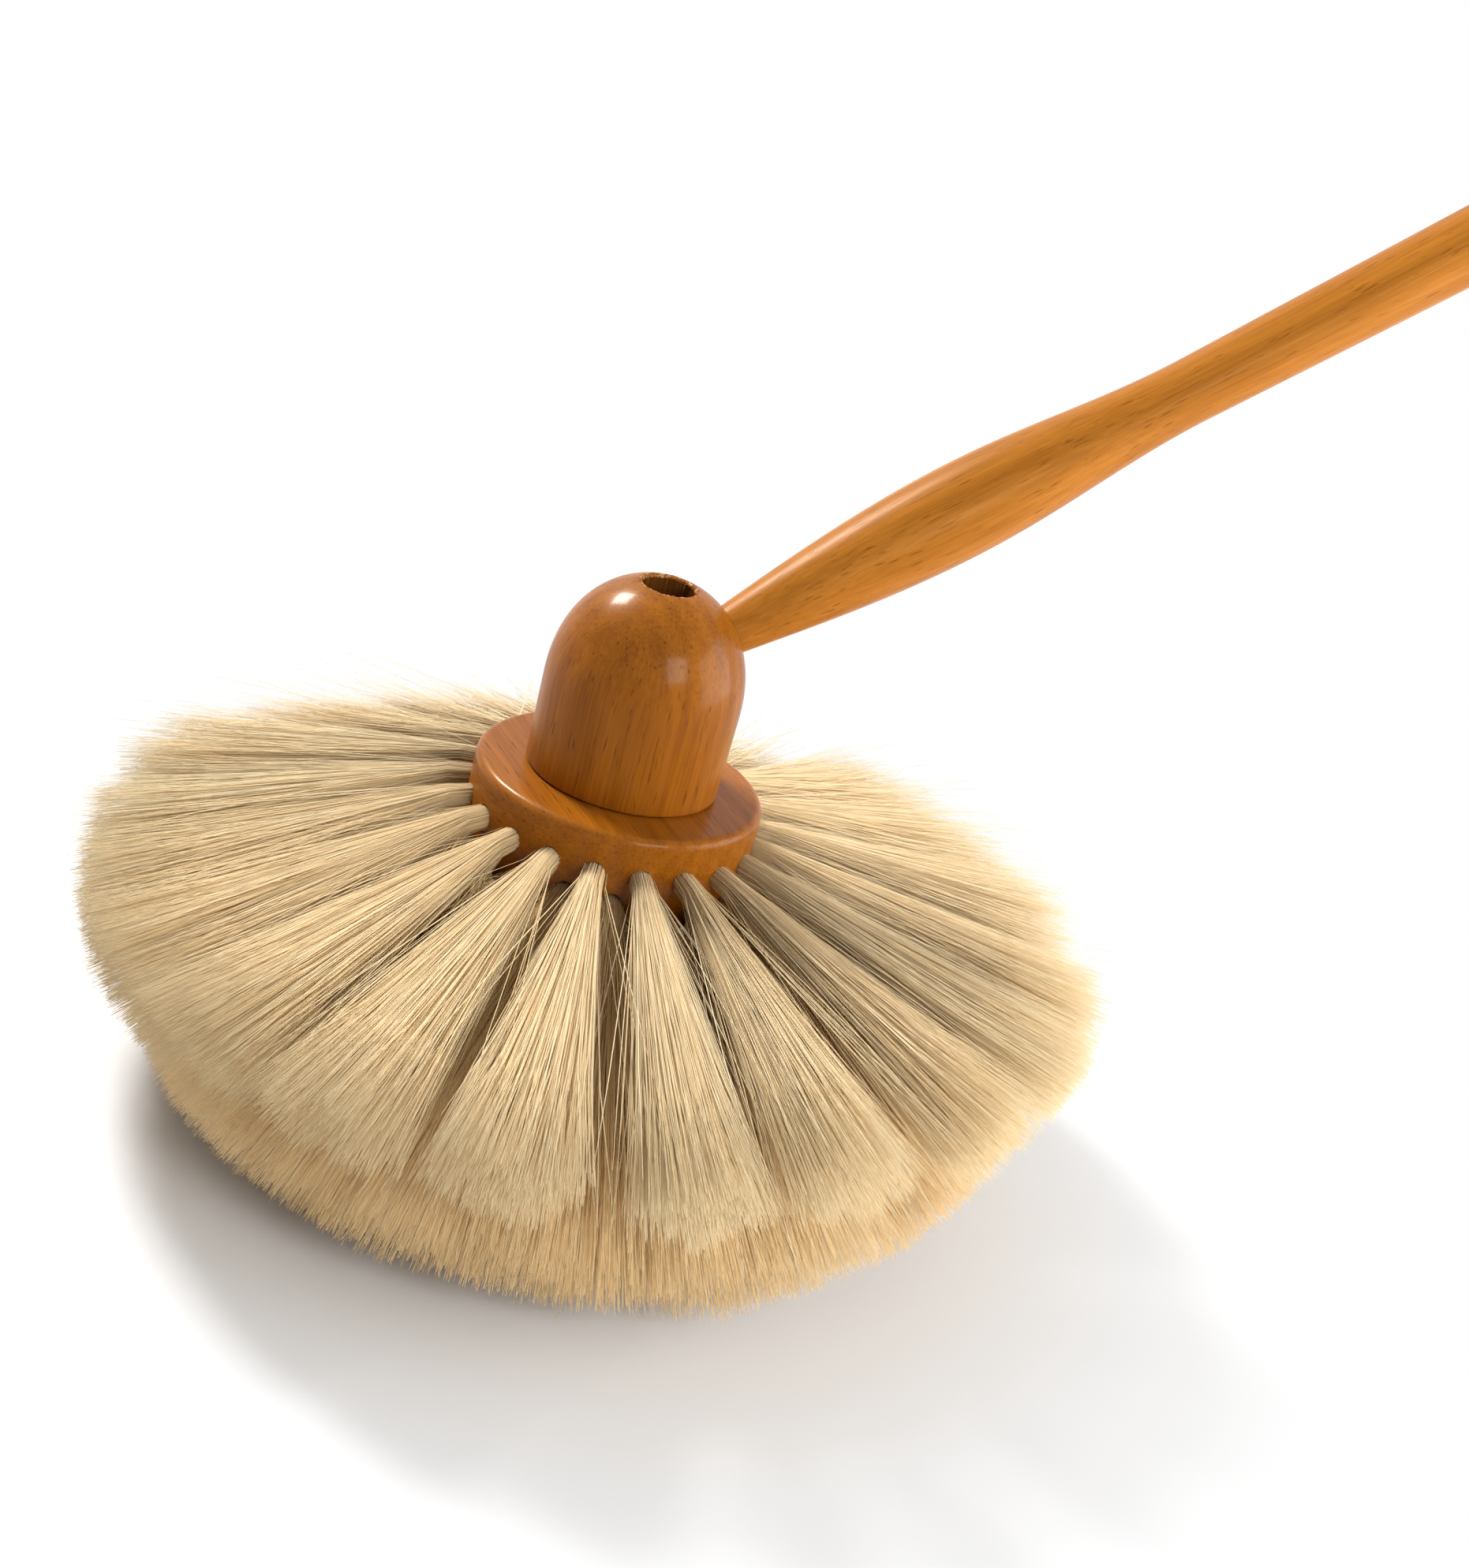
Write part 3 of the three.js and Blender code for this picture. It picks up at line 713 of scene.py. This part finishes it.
@cache
def beech_grain():
    """Streaks, growth rings and short dark flecks of beech whose grain runs along Z."""
    group = bpy.data.node_groups.new("beech_grain", "ShaderNodeTree")
    socket = group.interface.new_socket
    socket("Vector", in_out="INPUT", socket_type="NodeSocketVector")
    socket("Streaks", in_out="OUTPUT", socket_type="NodeSocketFloat")
    socket("Flecks", in_out="OUTPUT", socket_type="NodeSocketFloat")
    socket("Height", in_out="OUTPUT", socket_type="NodeSocketFloat")
    place_in = group.nodes.new("NodeGroupInput").outputs["Vector"]

    def along_grain(stretch):
        return add(group, "Mapping", Vector=place_in, Scale=(1, 1, stretch)).outputs[0]

    def noise(stretch, scale, detail):
        return add(group, "TexNoise", Vector=along_grain(stretch), Scale=scale, Detail=detail).outputs

    broad = noise(BROAD_STRETCH, BROAD_SCALE, 3.0)["Fac"]
    fibres = noise(FIBRE_STRETCH, FIBRE_SCALE, 2.0)["Fac"]
    warp = noise(WARP_STRETCH, WARP_SCALE, 2.0)["Color"]
    bent = add(group, "VectorMath", {"operation": "MULTIPLY_ADD"})
    connect(group, bent.inputs[0], warp)
    connect(group, bent.inputs[1], WARP_REACH)
    connect(group, bent.inputs[2], place_in)
    centred = add(group, "Mapping", Vector=bent.outputs[0], Location=RING_CENTRE).outputs[0]
    about_z = {"wave_type": "RINGS", "rings_direction": "Z"}
    rings = add(group, "TexWave", about_z, Vector=centred, Scale=RING_SCALE).outputs["Fac"]
    streaks = calculate(group, "MULTIPLY", broad, BROAD_SHARE)
    for pattern, share in ((fibres, FIBRE_SHARE), (rings, RING_SHARE)):
        streaks = calculate(group, "ADD", streaks, calculate(group, "MULTIPLY", pattern, share))
    flecks = remap(group, noise(FLECK_STRETCH, FLECK_SCALE, 1.0)["Fac"], *FLECK_RANGE)
    relief = calculate(group, "MULTIPLY", fibres, FIBRE_RELIEF)
    height = calculate(group, "SUBTRACT", relief, flecks)
    out = group.nodes.new("NodeGroupOutput")
    connect(group, out.inputs["Streaks"], streaks)
    connect(group, out.inputs["Flecks"], flecks)
    connect(group, out.inputs["Height"], height)
    return group


def new_material(name):
    material = bpy.data.materials.new(name)
    material.use_nodes = True
    tree = material.node_tree
    return material, tree, tree.nodes["Principled BSDF"]


def lacquered_beech(name, turn, dark, light, fleck, chips=0.0, gloss=GLOSSY):
    """Stained and lacquered beech, with its grain turned from Z, and bare where it is chipped."""
    material, tree, shader = new_material(name)
    place_in = add(tree, "TexCoord").outputs["Object"]
    turned_in = add(tree, "Mapping", Vector=place_in, Rotation=turn).outputs[0]
    grain = add(tree, "Group", {"node_tree": beech_grain()}, Vector=turned_in).outputs
    colour = blend(tree, remap(tree, grain["Streaks"], *STREAK_RANGE), dark, light)
    colour = blend(tree, calculate(tree, "MULTIPLY", grain["Flecks"], FLECK_STRENGTH), colour, fleck)
    if chips:
        patches = add(tree, "TexNoise", Vector=place_in, Scale=CHIP_SCALE).outputs["Fac"]
        chipped = remap(tree, patches, *CHIP_RANGE)
        colour = blend(tree, calculate(tree, "MULTIPLY", chipped, chips), colour, BARE_BEECH)
    connect(tree, shader.inputs["Base Color"], colour)
    roughness = remap(tree, grain["Streaks"], *ROUGHNESS_STREAKS, *WOOD_ROUGHNESS)
    connect(tree, shader.inputs["Roughness"], roughness)
    shader.inputs["Specular IOR Level"].default_value = WOOD_SPECULAR
    shader.inputs["Specular Tint"].default_value = WOOD_SPECULAR_TINT
    shader.inputs["Coat Weight"].default_value = gloss.coat
    shader.inputs["Coat Roughness"].default_value = gloss.roughness
    bump = add(tree, "Bump", Height=grain["Height"], Strength=WOOD_BUMP, Distance=WOOD_BUMP_DEPTH)
    connect(tree, shader.inputs["Normal"], bump.outputs[0])
    return material


@cache
def head_beech():
    return lacquered_beech("honey_beech", (0, 0, 0), HONEY_DARK, HONEY_LIGHT, HONEY_FLECK)


@cache
def collar_beech():
    """The collar's grain runs level, along Y."""
    return lacquered_beech("level_beech", (math.pi / 2, 0, 0), HONEY_DARK, HONEY_LIGHT, HONEY_FLECK)


@cache
def rim_beech():
    stain = (HONEY_DARK, HONEY_LIGHT, HONEY_FLECK)
    return lacquered_beech("chipped_beech", (0, 0, 0), *stain, chips=RIM_BARE)


# Painted shade inside the socket bores
@cache
def shaded_bore_beech():
    return lacquered_beech("shaded_bore_beech", (0, 0, 0), BORE_SHADE_DARK, BORE_SHADE_LIGHT, HONEY_FLECK)


@cache
def handle_beech():
    to_grain = (0, HANDLE_TILT - math.pi / 2, 0)
    stain = (ORANGE_DARK, ORANGE_LIGHT, ORANGE_FLECK)
    return lacquered_beech("orange_beech", to_grain, *stain, gloss=SATIN)


@cache
def plain_beech():
    level = (0, math.pi / 2, 0)
    return lacquered_beech("sanded_beech", level, SANDED_DARK, SANDED_LIGHT, SANDED_FLECK)


@cache
def goat_hair():
    """Blond hair, with its tone across the map and its length up it; the lower row's darker tone is
    painted shade.
    """
    material, tree, shader = new_material("blond_hair")
    hair_map = add(tree, "UVMap", {"uv_map": "OFBake"}).outputs[0]
    spot = add(tree, "SeparateXYZ", Vector=hair_map).outputs
    colour = blend(tree, spot["X"], BLOND_DARK, BLOND_LIGHT)
    # painted shade, darkening the hair towards its roots
    shade = remap(tree, spot["Y"], 0.0, ROOT_SHADE_END, ROOT_SHADE, 0.0)
    colour = blend(tree, shade, colour, BLOND_IN_ROOT_SHADE)
    connect(tree, shader.inputs["Base Color"], colour)
    roughness = remap(tree, spot["X"], 0.0, 1.0, *HAIR_ROUGHNESS)
    connect(tree, shader.inputs["Roughness"], roughness)
    shader.inputs["Specular IOR Level"].default_value = HAIR_SPECULAR
    shader.inputs["Specular Tint"].default_value = HAIR_SPECULAR_TINT
    shader.inputs["Sheen Weight"].default_value = HAIR_SHEEN
    shader.inputs["Sheen Roughness"].default_value = HAIR_SHEEN_ROUGHNESS
    shader.inputs["Sheen Tint"].default_value = HAIR_SHEEN_TINT
    return material


@cache
def brass():
    material, tree, shader = new_material("tarnished_brass")
    place_in = add(tree, "TexCoord").outputs["Object"]
    tarnish = add(tree, "TexNoise", Vector=place_in, Scale=TARNISH_SCALE, Detail=4.0).outputs["Fac"]
    colour = blend(tree, remap(tree, tarnish, *TARNISH_RANGE), BRASS_BRIGHT, BRASS_DULL)
    connect(tree, shader.inputs["Base Color"], colour)
    roughness = remap(tree, tarnish, *ROUGHNESS_TARNISH, *BRASS_ROUGHNESS)
    connect(tree, shader.inputs["Roughness"], roughness)
    shader.inputs["Metallic"].default_value = 1.0
    return material


# Studio


def backdrop_white(tree):
    """1 for the rays that show the background: those of the camera, and of gloss and glass."""
    path = add(tree, "LightPath").outputs
    reflected = calculate(tree, "MAXIMUM", path["Is Glossy Ray"], path["Is Transmission Ray"])
    return calculate(tree, "MAXIMUM", path["Is Camera Ray"], reflected)


def make_floor(height):
    bpy.ops.object.select_all(action="DESELECT")
    bpy.ops.mesh.primitive_circle_add(vertices=FLOOR_SIDES, radius=FLOOR_RADIUS, fill_type="NGON")
    floor = bpy.context.object
    floor.location.z = height
    floor.name = "floor"
    material, tree, shader = new_material("floor_white")
    shader.inputs["Base Color"].default_value = FLOOR_WHITE
    shader.inputs["Roughness"].default_value = FLOOR_ROUGHNESS
    white = add(tree, "Emission", Strength=1.0)
    from_axis = add(tree, "VectorMath", {"operation": "LENGTH"})
    connect(tree, from_axis.inputs[0], add(tree, "TexCoord").outputs["Object"])
    eased = {"interpolation_type": "SMOOTHSTEP"}
    clear = add(tree, "MapRange", eased, Value=from_axis.outputs["Value"])
    clear.inputs["From Min"].default_value = SHADOW_CORE
    clear.inputs["From Max"].default_value = SHADOW_END
    share = calculate(tree, "MULTIPLY", backdrop_white(tree), clear.outputs[0])
    mixed = add(tree, "MixShader")
    connect(tree, mixed.inputs[0], share)
    connect(tree, mixed.inputs[1], shader.outputs[0])
    connect(tree, mixed.inputs[2], white.outputs[0])
    connect(tree, tree.nodes["Material Output"].inputs["Surface"], mixed.outputs[0])
    floor.data.materials.append(material)
    floor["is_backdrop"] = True


def make_world():
    world = bpy.data.worlds.new("studio")
    world.use_nodes = True
    bpy.context.scene.world = world
    tree = world.node_tree
    light = tree.nodes["Background"]
    light.inputs["Color"].default_value = WHITE
    light.inputs["Strength"].default_value = WORLD_LIGHT
    white = add(tree, "Background", Color=WHITE, Strength=1.0)
    mixed = add(tree, "MixShader")
    connect(tree, mixed.inputs[0], backdrop_white(tree))
    connect(tree, mixed.inputs[1], light.outputs[0])
    connect(tree, mixed.inputs[2], white.outputs[0])
    connect(tree, tree.nodes["World Output"].inputs["Surface"], mixed.outputs[0])


def add_softbox(settings):
    """A square lamp that looks at the knob, from an azimuth round from +X."""
    target = Vector((0, 0, knob_base + KNOB_SHOULDER_HEIGHT))
    turn = math.radians(settings.azimuth)
    rise = math.radians(settings.elevation)
    level = math.cos(rise)
    direction = Vector((math.cos(turn) * level, math.sin(turn) * level, math.sin(rise)))
    bpy.ops.object.light_add(type="AREA", location=target + direction * LAMP_DISTANCE)
    lamp = bpy.context.object
    lamp.name = settings.name
    lamp.data.size = settings.size
    lamp.data.energy = settings.power
    lamp.rotation_mode = "QUATERNION"
    lamp.rotation_quaternion = (-direction).to_track_quat("-Z", "Y")


def make_camera():
    target = Vector((0, 0, collar_height))
    tipped = Matrix.Rotation(math.pi / 2 - CAMERA_ELEVATION, 3, "X")
    looking = Matrix.Rotation(CAMERA_TURN, 3, "Z") @ tipped
    position = target - looking @ Vector((0, 0, -CAMERA_DISTANCE))
    across = (COLLAR_PIXEL[0] - PHOTO_WIDTH / 2) / FOCAL_PIXELS
    up = (PHOTO_HEIGHT / 2 - COLLAR_PIXEL[1]) / FOCAL_PIXELS
    aside = Vector((0, 0, -1)).rotation_difference(Vector((across, up, -1)))
    turn = looking @ Matrix.Rotation(CAMERA_ROLL, 3, "Z") @ aside.inverted().to_matrix()
    bpy.ops.object.camera_add(location=position, rotation=turn.to_euler())
    camera = bpy.context.object
    camera.data.sensor_width = SENSOR
    camera.data.lens = FOCAL_PIXELS * SENSOR / PHOTO_HEIGHT
    bpy.context.scene.camera = camera


# Assembly

make_camera()
make_knob()
make_collar()
make_handle()
for row in ROWS:
    for index, angle in enumerate(row_angles(row)):
        make_tuft(row, index, angle)
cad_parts["base_cover"].material_slots[0].material = plain_beech()
draw_wires = ("upper_draw_wire", "lower_draw_wire")
cover_screws = ("cover_screw_1", "cover_screw_2", "cover_screw_3")
for name in draw_wires + cover_screws:
    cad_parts[name].material_slots[0].material = brass()

make_floor(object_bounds()[0].z)
make_world()
for settings in LAMPS:
    add_softbox(settings)
bpy.context.scene.view_settings.view_transform = "Standard"
